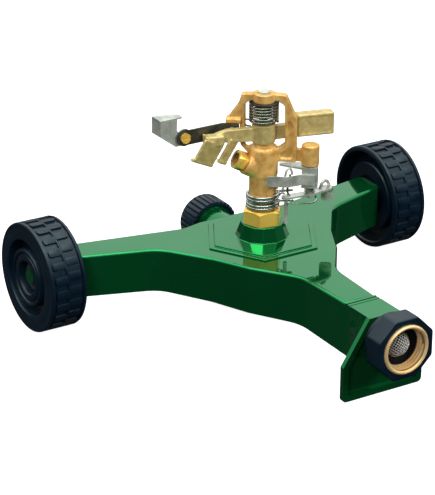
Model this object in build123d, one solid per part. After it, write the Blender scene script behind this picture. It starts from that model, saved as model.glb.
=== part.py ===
from build123d import *
import os
from math import atan, atan2, cos, degrees, radians, sin

# Impulse sprinkler on a two-wheeled cast base.
# Lengths are millimetres, angles degrees. Z is up and -Y is the hose end.
# Pieces are modelled about the riser axis, then moved so that the origin
# is under the middle of the whole sprinkler.

# Clearances
running_fit = 0.05
seat_gap = 0.02
side_gap = 0.3
sheet_gap = 0.1

# Wheels
wheel_radius = 35.0
wheel_width = 25.2
wheel_track = 257.34
axle_back = 51.65
axle_radius = 5.0
tread_lugs = 24
tread_groove = 0.9
tread_depth = 1.1
wheel_chamfer = 1.1
hub_inner_radius = 11.0
hub_set_in = 2.0
rim_wall = 4.8
inner_recess_depth = 13.6
sidewall_ring = 0.75
disc_ring = 0.6
disc_set_in = 0.8
ring_recess = 7.0
centre_recess_radius = 12.8
centre_recess_depth = 6.0
retainer_thickness = 1.2
retainer_radius = 8.2
axle_end = 2.6

# Cast base
base_top = 50.9
wall = 3.0
edge_round = 2.0
skirt_height = 22.0
skirt_slope = 0.045
wheel_gap = 2.07
arm_tip_front = 31.5
arm_tip_back = 53.5
nose_half = 11.0
nose_length = 25.5
nose_groove = 1.2
nose_groove_depth = 0.5
foot_setback = 23.37
foot_plate = 3.0
foot_corner = 3.0
foot_half = 28.7
foot_shoulder = 23.0
foot_rim = 4.0
foot_recess = 2.0
step_height = 1.0
hexagon_outer = 39.0
hexagon_inner = 35.0
rib_thickness = 2.4
rib_depth = 15.0
hub_side = 45.0
hub_waist = 33.0
arm_root_x = 66.0
arm_root_y = 16.5
back_flat = 41.0
back_corner = 36.0
axle_boss_radius = 8.4
axle_boss_length = 22.0

# Water passage in the base
water_z = 37.34
water_radius = 7.0
passage_wall = 3.5
socket_wall = 3.0
riser_sleeve = 12.8
riser_floor = 31.0
riser_thread = 9.3
boss_low_radius = 17.1
boss_top_radius = 13.8
boss_height = 9.1

# Hose inlet
inlet_reach = 156.87
stem_radius = 10.0
stem_depth = 14.0
stem_collar_radius = 12.6
nut_radius = 15.55
nut_thread = 13.2
thread_depth = 9.4
thread_lead = 4.2
thread_relief = 0.3
nut_back_wall = 2.6
collar_thickness = 2.0
sleeve_across = 38.6
sleeve_setback = 1.4
sleeve_length = 13.5
sleeve_tail = 5.4
sleeve_wall = 1.2
washer_thickness = 2.4
washer_hole = 8.4
screen_rise = 5.6
screen_sheet = 0.5

# Far outlet and its cap
neck_radius = 12.0
cap_start = 57.0
cap_length = 17.0
cap_radius = 16.7
cap_end_wall = 2.2
cap_rim = 3.4
cap_ribs = 30
cap_groove = 0.9
spigot_radius = 13.2
cap_washer = 1.6

# Bearing
nipple_across = 22.2
nipple_hex_height = 9.2
nipple_turn = -10.0
nipple_thread_length = 14.0
bearing_gap = 7.8
bearing_stem = 7.0
bearing_bore = 5.2
bearing_wire = 1.2
bearing_turns = 4
bearing_washer = 1.6
stem_flange = 8.5

# Friction collars
collar_wire = 1.8
collar_radius = 9.8
collar_pitch = 2.0
collar_turns = 2
collar_tab_reach = 18.6
collar_lower_angle = -32.0
collar_upper_angle = -20.0

# Brass body and bridge, in the plane of the bridge
bridge_angle = -37.0
bead_height = 3.0
bead_radius = 8.4
tube_height = 11.0
tube_radius = 8.7
barrel_height = 20.0
barrel_radius = 9.2
pivot_collar_radius = 5.6
pivot_collar_height = 1.9
bridge_height = 34.5
bridge_bar = 4.4
bridge_depth = 5.4
bridge_boss_radius = 7.0
bridge_boss_drop = 1.2
left_leg_outer = 14.4
left_leg = 3.1
right_leg_inner = 13.4
right_leg_outer = 20.8
leg_recess = 1.2
leg_rim = 2.4
web_reach = 24.0
ledge_depth = 2.2
ledge_height = 3.2

# Range nozzle
nozzle_azimuth = 165.0
nozzle_rise = 27.0
nozzle_boss_radius = 7.3
nozzle_boss_length = 13.5
nozzle_across = 11.0
nozzle_length = 6.8
nozzle_rim_radius = 6.0
nozzle_rim = 2.2
nozzle_thread = 4.4
nozzle_thread_length = 5.0
nozzle_bore = 2.4
nozzle_mouth = 4.2
passage_radius = 3.6

# Fulcrum pin and arm spring
pin_radius = 2.4
pin_head_radius = 3.9
pin_head = 1.3
spring_wire = 1.5
spring_radius = 8.6
spring_turns = 6
cup_thickness = 0.9
cup_tube_radius = 4.6
cup_tube_length = 6.0

# Impact arm
arm_angle = -15.0
arm_hub_radius = 7.3
arm_hub_height = 12.4
arm_back_face = 1.3
arm_front_face = 3.2
arm_height = 8.6
knee_reach = 33.0
weight_start = 20.6
weight_end = 45.0
weight_thickness = 8.0
weight_height = 14.6
weight_bar = 4.4
weight_rim = 1.6
weight_panel = 0.4
knee_length = 12.5
vane_lean = 30.0
vane_turn = 27.0
vane_thickness = 1.8
vane_width = 17.9
vane_length = 15.8
vane_setback = 4.3
vane_offset = 5.5
vane_lip = 1.2
vane_lip_reach = 2.2
rear_vane_width = 7.2
rear_vane_length = 17.0
rear_vane_advance = 9.2
rear_vane_offset = 2.0
rear_vane_drop = 1.7
rear_vane_lip = 1.4
spike_radius = 0.8
spike_length = 6.0

# Diffuser
sheet = 1.2
diffuser_bar_height = 9.4
diffuser_pivot_x = 49.6
diffuser_ear = 5.4
flap_screw = 1.6
flap_screw_head = 3.2
flap_sheet = 0.8
flap_depth = 10.6
flap_reach = 16.5
flap_rise = 13.4
flap_drop = 5.2
flap_notch = 5.0
bar_bend = 25.5
bar_rivet = 2.2
nut_thickness = 1.6

# Trip mechanism
trip_reach = 29.3
trip_boss_radius = 5.6
trip_boss_height = 13.3
trip_web = 3.0
trip_pin = 1.5
clip_radius = 3.4
bracket_height = 13.5
bracket_front = 6.2
bracket_half = 5.0
bracket_back = 4.2
tongue_reach = 19.2
leaf_height = 6.8
leaf_standoff = 10.9
lever_width = 6.0
rod_radius = 1.25
rod_length = 17.0
rod_along = 14.1
rod_forward = 8.0
lever_tail_along = 10.6
lever_tail_back = 10.0
lever_tab_height = 10.0
lever_tab_width = 8.0
trip_rivet = 1.5
trip_spring_wire = 0.9
trip_spring_radius = 3.0
trip_spring_turns = 4
clip_thickness = 0.8
rivet_head = 0.8

# Reaches worked out from the sizes above
wheel_x = wheel_track / 2
arm_tip_x = wheel_x - wheel_width / 2 - wheel_gap
foot_front = inlet_reach - foot_setback
nose_start = foot_front - nose_length
hub_y = (inlet_reach - axle_back - wheel_radius) / 2

# Levels worked out from the sizes above
step_top = base_top + 2 * step_height
riser_top = step_top + boss_height
nipple_top = riser_top + nipple_hex_height
neck_z = nipple_top + bearing_gap
tube_z = neck_z + bead_height
barrel_z = tube_z + tube_height
barrel_top = barrel_z + barrel_height
pivot_z = barrel_top + pivot_collar_height
arm_z = pivot_z + side_gap
arm_top = arm_z + arm_hub_height
bridge_top = barrel_top + bridge_height
window_top = bridge_top - bridge_bar
cup_top = window_top - bridge_boss_drop
cup_z = cup_top - cup_thickness

pin_bottom = barrel_top - 7.0
nozzle_z = barrel_z + 3.5

# Levels of the trip mechanism, counted down from the foot of its boss
trip_boss_z = barrel_top - 11.7
leg_foot_z = barrel_top - 10.0
bracket_top = trip_boss_z - side_gap
bracket_low = bracket_top - bracket_height
trip_boss_top = trip_boss_z + trip_boss_height
trip_pin_top = trip_boss_top - 2.0
lever_z = bracket_low - trip_spring_wire * (trip_spring_turns + 1) - 2 * side_gap - sheet
tab_back = lever_tail_back + lever_width / 2

riser = Pos(0, hub_y, 0)
head = riser * Rot(0, 0, bridge_angle)
arm_frame = riser * Rot(0, 0, arm_angle)
trip_axis = Pos(trip_reach, 0, 0)


def face_of(corners):
    """A flat face from corners given as (x, y, rounding)."""
    points = [(x, y) for x, y, _ in corners]
    return make_face(FilletPolyline(*points, radius=[r for _, _, r in corners], close=True))


def turned(points):
    """A solid turned about Z from a half section given as (radius, height)."""
    section = make_face(Polyline(*[(r, 0, h) for r, h in points], close=True))
    return revolve(section, Axis.Z)


def disc(radius, low, high, hole=0.0):
    """A round plate, or a ring if it has a hole, about Z from one level to another."""
    solid = Pos(0, 0, low) * extrude(Circle(radius), high - low)
    if hole:
        solid -= Pos(0, 0, low) * extrude(Circle(hole), high - low)
    return solid


def block(x0, x1, y0, y1, z0, z1):
    """A rectangular block between opposite faces."""
    return Pos(x0, y0, z0) * Box(x1 - x0, y1 - y0, z1 - z0, align=(Align.MIN,) * 3)


def upright(corners, y0, y1):
    """An upright plate in the XZ plane between two values of y."""
    return extrude(Plane((0, y0, 0), (1, 0, 0), (0, -1, 0)) * face_of(corners), y0 - y1)


def strip(points, thickness, low, high, bend=0.0):
    """A bent strip of sheet standing on edge along a path seen from above."""
    path = FilletPolyline(*points, radius=bend) if bend else Polyline(*points)
    face = make_face(offset(path, thickness, side=Side.LEFT, kind=Kind.INTERSECTION))
    return Pos(0, 0, low) * extrude(face, high - low)


def coil(radius, wire, pitch, turns, low):
    """A round-wire coil whose first turn is centred at the given level."""
    path = Pos(0, 0, low) * Helix(pitch, pitch * turns, radius)
    section = Plane(path @ 0, z_dir=path % 0) * Circle(wire / 2)
    return sweep(section, path, is_frenet=True)


def wheel_side(side):
    """The frame of a wheel, whose Z runs outward along the axle."""
    return Plane((side * wheel_x, hub_y + axle_back, wheel_radius), (0, 1, 0), (side, 0, 0))


def inlet_frame():
    """The frame of the hose inlet, whose Z runs out of its mouth from the mouth's face."""
    return Plane((0, hub_y - inlet_reach, water_z), (1, 0, 0), (0, -1, 0))


def outlet_frame():
    """The frame of the far outlet, whose Z runs outward from the riser axis."""
    return Plane((0, hub_y, water_z), (1, 0, 0), (0, 1, 0))


# Wheels
def wheel():
    half = wheel_width / 2
    bore = axle_radius + running_fit
    ring = wheel_radius * sidewall_ring
    raised = wheel_radius * disc_ring
    solid = turned([
        (bore, hub_set_in - half),
        (hub_inner_radius, hub_set_in - half),
        (hub_inner_radius, inner_recess_depth - half),
        (wheel_radius - rim_wall, inner_recess_depth - half),
        (wheel_radius - rim_wall, -half),
        (wheel_radius - wheel_chamfer, -half),
        (wheel_radius, wheel_chamfer - half),
        (wheel_radius, half - wheel_chamfer),
        (wheel_radius - wheel_chamfer, half),
        (ring, half),
        (ring, half - ring_recess),
        (raised, half - ring_recess),
        (raised, half - disc_set_in),
        (centre_recess_radius, half - disc_set_in),
        (centre_recess_radius, half - centre_recess_depth),
        (bore, half - centre_recess_depth),
    ])
    cut = 2 * tread_depth
    row = half - tread_groove
    groove = Box(cut, tread_groove, row)
    turn = 360 / tread_lugs
    solid -= [
        Rot(0, 0, turn * (n + shift)) * Pos(wheel_radius, 0, level) * groove
        for n in range(tread_lugs)
        for level, shift in ((row / 2 + tread_groove, 0.0), (-row / 2 - tread_groove, 0.5))
    ]
    centre_line = disc(wheel_radius + cut, -tread_groove / 2, tread_groove / 2, wheel_radius - tread_depth)
    return solid - centre_line


def wheel_retainer():
    """A push-on ring that keeps the wheel on its stub."""
    low = wheel_width / 2 - centre_recess_depth + side_gap
    return disc(retainer_radius, low, low + retainer_thickness, axle_radius + seat_gap)


# Cast base
def base_plan():
    """The base seen from above, about the riser axis."""
    right = [
        (22.0, back_flat, 12.0),
        (back_corner, back_flat - 3.2, 14.0),
        (arm_tip_x, arm_tip_back, 5.0),
        (arm_tip_x, arm_tip_front, 5.0),
        (arm_root_x, arm_root_y, 24.0),
        (hub_side, -0.12 * nose_start, 24.0),
        (hub_waist, -0.333 * nose_start, 0.185 * nose_start),
        (nose_half + 1.8, -0.593 * nose_start, 0.24 * nose_start),
        (nose_half, -nose_start, 0.0),
    ]
    left = [(-x, y, r) for x, y, r in reversed(right)]
    return face_of(right + left)


def nose_section(t, inset=0.0):
    """A cross-section of the nose; t runs from 0 at the arm to 1 at the foot."""
    y = nose_start + t * (foot_front - nose_start)
    flare = t ** 2.2
    skirt = (skirt_height - skirt_slope * nose_start) * (1 - flare)
    bottom = nose_half + (foot_half - nose_half) * flare
    shoulder = skirt + (foot_shoulder - skirt) * (0.6 + 0.4 * flare)
    waist = nose_half + (foot_half - nose_half) * t ** 3
    half = [
        (bottom - inset, skirt if not inset else -wall),
        (waist - inset, shoulder - inset / 2),
        (nose_half - inset, base_top - inset),
    ]
    points = half + [(-x, z) for x, z in reversed(half)]
    return Plane((0, -y, 0), (1, 0, 0), (0, -1, 0)) * make_face(Polyline(*points, close=True))


def skirt_cut():
    """What is cut away under the sloping lower edge of the skirt."""
    reach = wheel_track
    start = skirt_height - skirt_slope * nose_start
    face = make_face(Polyline(
        (-nose_start, -wall),
        (-nose_start, start),
        (reach, skirt_height + skirt_slope * reach),
        (reach, -wall),
        close=True,
    ))
    return extrude(Plane.YZ * face, reach, both=True)


def foot_corners():
    """What is cut from the lower corners of the foot to round them."""
    along = Plane((0, -foot_front, 0), (1, 0, 0), (0, -1, 0))
    depth = 2 * foot_plate
    for side in (1, -1):
        x = side * (foot_half - foot_corner)
        corner = Pos(x + side * foot_corner, 0, 0) * Box(2 * foot_corner, 2 * depth, 2 * foot_corner)
        rounding = along * Pos(x, foot_corner, 0) * Cylinder(foot_corner, 3 * depth)
        yield Pos(0, -foot_front, 0) * corner - rounding


def nose_grooves():
    """Two shallow grooves across the top of the nose."""
    for step in (1.5, 4.5):
        y = -nose_start - step
        low = base_top - nose_groove_depth
        yield block(-foot_half, foot_half, y - nose_groove, y, low, base_top + 1.0)


def base_shell():
    plan = base_plan()
    low = skirt_height - skirt_slope * nose_start
    outer = Pos(0, 0, low) * extrude(plan, base_top - low)
    outer = fillet(outer.faces().sort_by(Axis.Z)[-1].edges(), edge_round)
    inner = Pos(0, 0, low - wall) * extrude(offset(plan, -wall), base_top - low)
    stations = (0.0, 0.35, 0.6, 0.8, 1.0)
    nose = loft([nose_section(t) for t in stations])
    hollow = loft([nose_section(t, wall) for t in stations])
    hollow -= block(-foot_half, foot_half, -foot_front, wall - foot_front, -wall, base_top)
    shell = (outer + nose) - inner - hollow
    shell += extrude(nose_section(1.0), foot_plate, dir=(0, 1, 0))
    return shell - skirt_cut() - [*foot_corners(), *nose_grooves()]


def waterways():
    """The cast tubes that carry the water, and the bosses they end in."""
    along = Plane((0, 0, water_z), (1, 0, 0), (0, 1, 0))
    tube = along * disc(water_radius + passage_wall, wall - foot_front, back_flat - wall / 2)
    socket = along * disc(stem_radius + socket_wall, wall / 2 - foot_front, stem_depth + wall - foot_front)
    neck = along * disc(neck_radius, back_flat - wall, cap_start + 0.5)
    spigot_end = cap_start + cap_length - cap_end_wall - cap_washer - side_gap
    spigot = along * disc(spigot_radius, cap_start + 0.5, spigot_end)
    riser_tube = disc(riser_sleeve, riser_floor, base_top - wall / 2)
    return [tube, socket, neck, spigot, riser_tube]


def waterway_bores():
    along = Plane((0, 0, water_z), (1, 0, 0), (0, 1, 0))
    passage = along * disc(water_radius, -foot_front - 1.0, cap_start + cap_length)
    socket = along * disc(stem_radius + running_fit, -foot_front - 1.0, stem_depth - foot_front)
    riser_hole = disc(riser_thread, water_z + 1.0, riser_top + 1.0)
    return [passage, socket, riser_hole]


def ribs():
    """Webs under the top plate that stiffen the two wheel arms."""
    top = base_top - wall / 2
    low = base_top - rib_depth
    half = rib_thickness / 2
    span = arm_tip_x - 2 * wall
    rise = (arm_tip_front + arm_tip_back) / 2 - arm_root_y - 5.0
    slope = degrees(atan2(rise, span - 25.0))
    for side, turn in ((1, slope), (-1, 180 - slope)):
        yield Pos(side * 14.0, 24.0, 0) * Rot(0, 0, turn) * block(0, span - 18.0, -half, half, low, top)
        for reach, front, back in ((span - 26.0, 26.0, 48.0), (span - 56.0, 12.0, 42.0)):
            yield block(side * reach - half, side * reach + half, front, back, low, top)


def riser_steps():
    """The two hexagon steps and the tapered boss that the riser stands on."""
    taper = degrees(atan((boss_low_radius - boss_top_radius) / boss_height))
    return [
        extrude(Pos(0, 0, base_top) * RegularPolygon(hexagon_outer, 6), step_height),
        extrude(Pos(0, 0, base_top + step_height) * RegularPolygon(hexagon_inner, 6), step_height),
        extrude(Pos(0, 0, step_top) * RegularPolygon(boss_low_radius, 12), boss_height, taper=taper),
    ]


def base_casting():
    body = base_shell()
    body += riser_steps()
    body += waterways()
    body += list(ribs())
    boss_end = wheel_x - wheel_width / 2 + hub_set_in - side_gap
    stub_end = wheel_x + wheel_width / 2 - axle_end
    for side in (1, -1):
        along = Plane((0, axle_back, wheel_radius), (0, 1, 0), (side, 0, 0))
        body += along * disc(axle_boss_radius, boss_end - axle_boss_length, boss_end)
        body += along * disc(axle_radius, boss_end, stub_end)
    body -= waterway_bores()
    return riser * foot_face(body)


def foot_face(body):
    """Sinks the front of the foot inside its rim."""
    rim = nose_section(1.0)
    inner = offset(rim, -foot_rim)
    pocket = extrude(inner, -foot_recess, dir=(0, -1, 0))
    along = Plane((0, 0, water_z), (1, 0, 0), (0, 1, 0))
    ring = along * disc(stem_radius + socket_wall, -foot_front, foot_recess - foot_front)
    return body - (pocket - ring)


# Hose inlet, each piece turned about the axis with Z out of the mouth
washer_back = -thread_depth
stem_collar_front = washer_back - washer_thickness
stem_collar_back = stem_collar_front - collar_thickness
stem_end = foot_front - inlet_reach - stem_depth


def inlet_stem():
    """The brass tail that the swivel nut turns on, seated in the base."""
    return inlet_frame() * turned([
        (water_radius, stem_end),
        (stem_radius, stem_end),
        (stem_radius, stem_collar_back),
        (stem_collar_radius, stem_collar_back),
        (stem_collar_radius, stem_collar_front),
        (water_radius, stem_collar_front),
    ])


def inlet_swivel_nut():
    back_bore = stem_radius + running_fit
    shoulder = stem_collar_back - 0.1
    return inlet_frame() * turned([
        (back_bore, shoulder - nut_back_wall),
        (nut_radius, shoulder - nut_back_wall),
        (nut_radius, -0.8),
        (nut_radius - 0.8, 0),
        (nut_thread + 1.0, 0),
        (nut_thread, -1.0),
        (nut_thread, -thread_lead),
        (nut_thread + thread_relief, -thread_lead),
        (nut_thread + thread_relief, -thread_lead - 0.5),
        (nut_thread, -thread_lead - 0.5),
        (nut_thread, washer_back + 0.2),
        (nut_thread + 2 * thread_relief, washer_back + 0.2),
        (nut_thread + 2 * thread_relief, shoulder),
        (back_bore, shoulder),
    ])


def inlet_grip_sleeve():
    """The eight-sided plastic grip moulded on the nut, with a round tail."""
    front = -sleeve_setback
    back = front - sleeve_length
    tail = back - sleeve_tail
    octagon = Rot(0, 0, 22.5) * RegularPolygon(sleeve_across / 2, 8, major_radius=False)
    flats = extrude(Pos(0, 0, back) * octagon, sleeve_length)
    flats = fillet(flats.edges().filter_by(Axis.Z), 3.0)
    flats = fillet(flats.faces().filter_by(Axis.Z).edges(), 0.8)
    grip = flats + disc(nut_radius + sleeve_wall, tail, back + 1.0)
    return inlet_frame() * (grip - disc(nut_radius + seat_gap, tail - 1.0, front + 1.0))


def inlet_washer():
    return inlet_frame() * disc(nut_thread + 0.2, stem_collar_front, washer_back, washer_hole)


def inlet_screen():
    """A dome of fine mesh whose rim is held in the washer."""
    rim = washer_hole - seat_gap
    sphere = (rim ** 2 + screen_rise ** 2) / (2 * screen_rise)
    centre = washer_back - 0.6 + screen_rise - sphere
    dome = Pos(0, 0, centre) * (Sphere(sphere) - Sphere(sphere - screen_sheet))
    dome &= disc(rim, washer_back - 0.6, washer_back + screen_rise)
    band = disc(rim, stem_collar_front, washer_back - 0.6 + 0.2, rim - screen_sheet)
    return inlet_frame() * (dome + band)


# Far outlet
def outlet_cap():
    end = cap_start + cap_length
    bore = spigot_radius + 0.2
    solid = turned([
        (0, end - cap_end_wall),
        (bore, end - cap_end_wall),
        (bore, cap_start + 0.6),
        (bore + 0.6, cap_start),
        (cap_radius - 1.2, cap_start),
        (cap_radius, cap_start + 1.2),
        (cap_radius, end - 1.0),
        (cap_radius - 1.0, end),
        (0, end),
    ])
    groove = Box(2 * cap_groove, cap_groove, cap_length)
    solid -= [
        Rot(0, 0, 360 / cap_ribs * n) * Pos(cap_radius, 0, end + cap_rim - cap_length / 2 + 0.1) * groove
        for n in range(cap_ribs)
    ]
    return outlet_frame() * solid


def outlet_cap_washer():
    high = cap_start + cap_length - cap_end_wall
    return outlet_frame() * disc(spigot_radius - 0.2, high - cap_washer, high, water_radius)


# Bearing
nipple_low = riser_top - nipple_thread_length
washer_low = nipple_low - 2 * bearing_washer - 0.2
flange_low = washer_low - 2.0
stem_top = tube_z + tube_height - 2.0


def bearing_nipple():
    """The hexagon nipple that screws into the base and carries the turning stem."""
    flats = Rot(0, 0, nipple_turn) * RegularPolygon(nipple_across / 2, 6, major_radius=False)
    hexagon = extrude(Pos(0, 0, riser_top) * flats, nipple_hex_height)
    corner = nipple_across / 2 / cos(radians(30))
    hexagon &= turned([
        (0, riser_top),
        (corner, riser_top),
        (corner, nipple_top - 1.3),
        (nipple_across / 2 - 0.6, nipple_top),
        (0, nipple_top),
    ])
    thread = disc(riser_thread - seat_gap, nipple_low, riser_top)
    bore = disc(bearing_stem + running_fit, nipple_low - 1.0, nipple_top + 1.0)
    return riser * ((hexagon + thread) - bore)


def bearing_stem_tube():
    """The flanged tube that the head is screwed to and turns on."""
    return riser * turned([
        (bearing_bore, flange_low),
        (stem_flange, flange_low),
        (stem_flange, washer_low),
        (bearing_stem, washer_low),
        (bearing_stem, stem_top),
        (bearing_bore, stem_top),
    ])


def bearing_washers():
    """Two washers between the stem's flange and the nipple."""
    bore = bearing_stem + running_fit
    lower = disc(stem_flange, washer_low + 0.05, washer_low + bearing_washer, bore)
    upper = disc(stem_flange, washer_low + bearing_washer + 0.05, washer_low + 2 * bearing_washer, bore)
    return riser * (lower + upper)


def bearing_spring():
    """The light spring that keeps the bearing faces together."""
    radius = bearing_stem + bearing_wire / 2 + 0.1
    rise = bearing_gap - bearing_wire - 0.2
    pitch = rise / bearing_turns
    return riser * coil(radius, bearing_wire, pitch, bearing_turns, nipple_top + 0.1 + bearing_wire / 2)


def friction_collar(level, angle):
    """A wire collar gripping the bearing, with one end turned out as a stop for the trip rod."""
    start = level + collar_wire / 2
    turns = collar_turns - 0.25
    winding = coil(collar_radius, collar_wire, collar_pitch, turns, start)
    high = start + collar_pitch * turns
    tip = Vector(collar_radius, 0, high)
    end_turn = Rot(0, 0, 360 * turns)
    tab = Plane(tip, z_dir=(1, 0, 0)) * disc(collar_wire / 2, 0, collar_tab_reach - collar_radius)
    knuckle = Pos(*tip) * Sphere(collar_wire / 2)
    cap_end = Pos(collar_tab_reach, 0, high) * Sphere(collar_wire / 2)
    solid = winding + end_turn * (tab + knuckle + cap_end)
    return riser * Rot(0, 0, angle - 360 * turns) * solid


# Head body, in the frame of the bridge: X along the bridge, -Y toward the front
jet = Plane(
    (0, 0, nozzle_z),
    x_dir=(0, 0, 1),
    z_dir=(
        cos(radians(nozzle_rise)) * cos(radians(nozzle_azimuth - bridge_angle)),
        cos(radians(nozzle_rise)) * sin(radians(nozzle_azimuth - bridge_angle)),
        sin(radians(nozzle_rise)),
    ),
)
left_inner = left_leg_outer - left_leg
web_z = barrel_top + 15.0
shoulder_top = bridge_top - 16.5


def bridge():
    """The arched bridge over the arm, with its side web and channelled right leg."""
    half = bridge_depth / 2
    outline = [
        (-6.0, barrel_z + 11.5, 0.0),
        (-left_leg_outer, barrel_top + 0.5, 5.0),
        (-left_leg_outer - 0.4, web_z, 1.0),
        (-web_reach, web_z, 1.0),
        (-left_leg_outer - 1.2, bridge_top - 7.0, 2.0),
        (-left_leg_outer + 0.6, bridge_top - 0.6, 1.8),
        (0, bridge_top, 30.0),
        (left_leg_outer - 0.6, bridge_top - 0.6, 2.4),
        (right_leg_outer, shoulder_top, 4.0),
        (right_leg_outer, leg_foot_z, 1.2),
        (6.0, leg_foot_z, 0.0),
    ]
    window = [
        (-left_inner, barrel_top - 1.0, 1.5),
        (-left_inner - 0.2, window_top - 2.0, 3.0),
        (-left_inner + 4.5, window_top, 2.0),
        (left_inner - 3.0, window_top, 2.0),
        (right_leg_inner - 0.4, window_top - 3.0, 3.0),
        (right_leg_inner, barrel_top + 2.0, 2.5),
        (right_leg_inner - 4.0, barrel_top - 1.0, 1.5),
    ]
    solid = upright(outline, -half, half) - upright(window, -bridge_depth, bridge_depth)
    channel = [
        (right_leg_inner + leg_rim - 0.6, shoulder_top + 0.5, 0.8),
        (right_leg_outer - leg_rim, shoulder_top - 4.0, 1.5),
        (right_leg_outer - leg_rim, leg_foot_z + leg_rim, 1.5),
        (barrel_radius + 1.2, leg_foot_z + leg_rim, 0.8),
        (barrel_radius + 1.2, barrel_top - 5.0, 1.5),
        (right_leg_inner + leg_rim - 0.6, barrel_top - 1.0, 2.5),
    ]
    for y0, y1 in ((-bridge_depth, leg_recess - half), (half - leg_recess, bridge_depth)):
        solid -= upright(channel, y0, y1)
    front = -half - ledge_depth
    ledge = block(0.6 - web_reach, 0.5 - left_leg_outer, front, half, web_z, web_z + ledge_height)
    return solid + fillet(ledge.edges().filter_by(Axis.X), 0.9)


def body_casting():
    """The brass body: tube, barrel, nozzle boss, bridge and trip boss in one casting."""
    core = turned([
        (0, neck_z),
        (bead_radius - 0.6, neck_z),
        (bead_radius, neck_z + 0.6),
        (bead_radius, tube_z - 0.6),
        (bead_radius - 0.4, tube_z),
        (tube_radius, tube_z + 0.3),
        (tube_radius, barrel_z),
        (barrel_radius, barrel_z + 1.0),
        (barrel_radius, barrel_top - 2.2),
        (barrel_radius - 0.7, barrel_top - 0.7),
        (barrel_radius - 2.2, barrel_top),
        (pivot_collar_radius, barrel_top),
        (pivot_collar_radius, pivot_z),
        (0, pivot_z),
    ])
    boss = disc(nozzle_boss_radius, 0, nozzle_boss_length)
    boss = jet * fillet(boss.faces().sort_by(Axis.Z)[-1].edges(), 1.0)
    top_boss = disc(bridge_boss_radius, cup_top, bridge_top)
    trip_boss = trip_axis * disc(trip_boss_radius, trip_boss_z, trip_boss_top)
    trip_boss = fillet(trip_boss.faces().sort_by(Axis.Z)[-1].edges(), 0.8)
    web_end = trip_reach - trip_boss_radius + 1.0
    half = trip_web / 2
    web = block(right_leg_outer - 1.0, web_end, -half, half, trip_boss_z + 2.0, trip_boss_top - 3.0)
    body = core + boss + bridge() + top_boss + trip_boss + web
    body -= disc(bearing_stem + seat_gap, neck_z - 1.0, stem_top)
    body -= disc(passage_radius, stem_top - 1.0, nozzle_z + 1.5)
    body -= jet * disc(passage_radius, 0, nozzle_boss_length + 1.0)
    thread_start = nozzle_boss_length - nozzle_thread_length
    body -= jet * disc(nozzle_thread + seat_gap, thread_start, nozzle_boss_length + 1.0)
    body -= disc(pin_radius + seat_gap, pin_bottom - 0.5, bridge_top + 1.0)
    body -= trip_axis * disc(trip_pin + seat_gap, trip_boss_z - 1.0, trip_pin_top)
    return head * body


def range_nozzle():
    """The screwed hexagon nozzle with its round mouth."""
    seat = nozzle_boss_length
    rim_start = seat + nozzle_length - nozzle_rim
    flats = RegularPolygon(nozzle_across / 2, 6, major_radius=False)
    solid = extrude(Pos(0, 0, seat) * flats, nozzle_length - nozzle_rim)
    solid += disc(nozzle_rim_radius, rim_start, seat + nozzle_length)
    solid += disc(nozzle_thread, seat - nozzle_thread_length + 0.1, seat)
    bore = turned([
        (0, seat - nozzle_thread_length),
        (passage_radius, seat - nozzle_thread_length),
        (nozzle_bore, rim_start - 1.5),
        (nozzle_bore, rim_start - 0.5),
        (nozzle_mouth, seat + nozzle_length),
        (0, seat + nozzle_length),
    ])
    return head * (jet * (solid - bore))


# Fulcrum pin, spring and cup
def fulcrum_pin():
    """The pin that the arm swings on, riveted over the bridge."""
    pin = disc(pin_radius, pin_bottom, bridge_top) + disc(pin_head_radius, bridge_top, bridge_top + pin_head)
    return head * fillet(pin.faces().sort_by(Axis.Z)[-1].edges(), 0.5)


def spring_cup():
    """The steel cup under the bridge that the arm spring bears on."""
    cup = disc(spring_radius + spring_wire / 2, cup_z, cup_top)
    cup += disc(cup_tube_radius, cup_z - cup_tube_length, cup_z)
    return head * (cup - disc(pin_radius + running_fit, cup_z - cup_tube_length - 1.0, bridge_top))


def arm_spring():
    low = arm_top + side_gap + spring_wire / 2
    high = cup_z - side_gap - spring_wire / 2
    return head * coil(spring_radius, spring_wire, (high - low) / spring_turns, spring_turns, low)


# Impact arm, in its own frame: +X toward the counterweight, -Y toward the front
spoon_z = arm_z - 2.0
arm_low = arm_z + 1.2
knee_low = arm_z + 3.0


def vane(reach, offset_y, level, width, length, lip, lip_reach):
    """A blade of the spoon, hung square to the jet and skewed across it, with a rounded foot."""
    blade = Box(width, vane_thickness, length)
    blade = fillet(blade.edges().filter_by(Axis.Y), 0.8)
    foot = Pos(-lip_reach / 2, 0, lip - length / 2) * Rot(0, 90, 0)
    blade += foot * Cylinder(lip, width + lip_reach)
    return Pos(-reach, -offset_y, level) * Rot(0, vane_lean, 0) * Rot(0, 0, vane_turn) * blade


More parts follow.
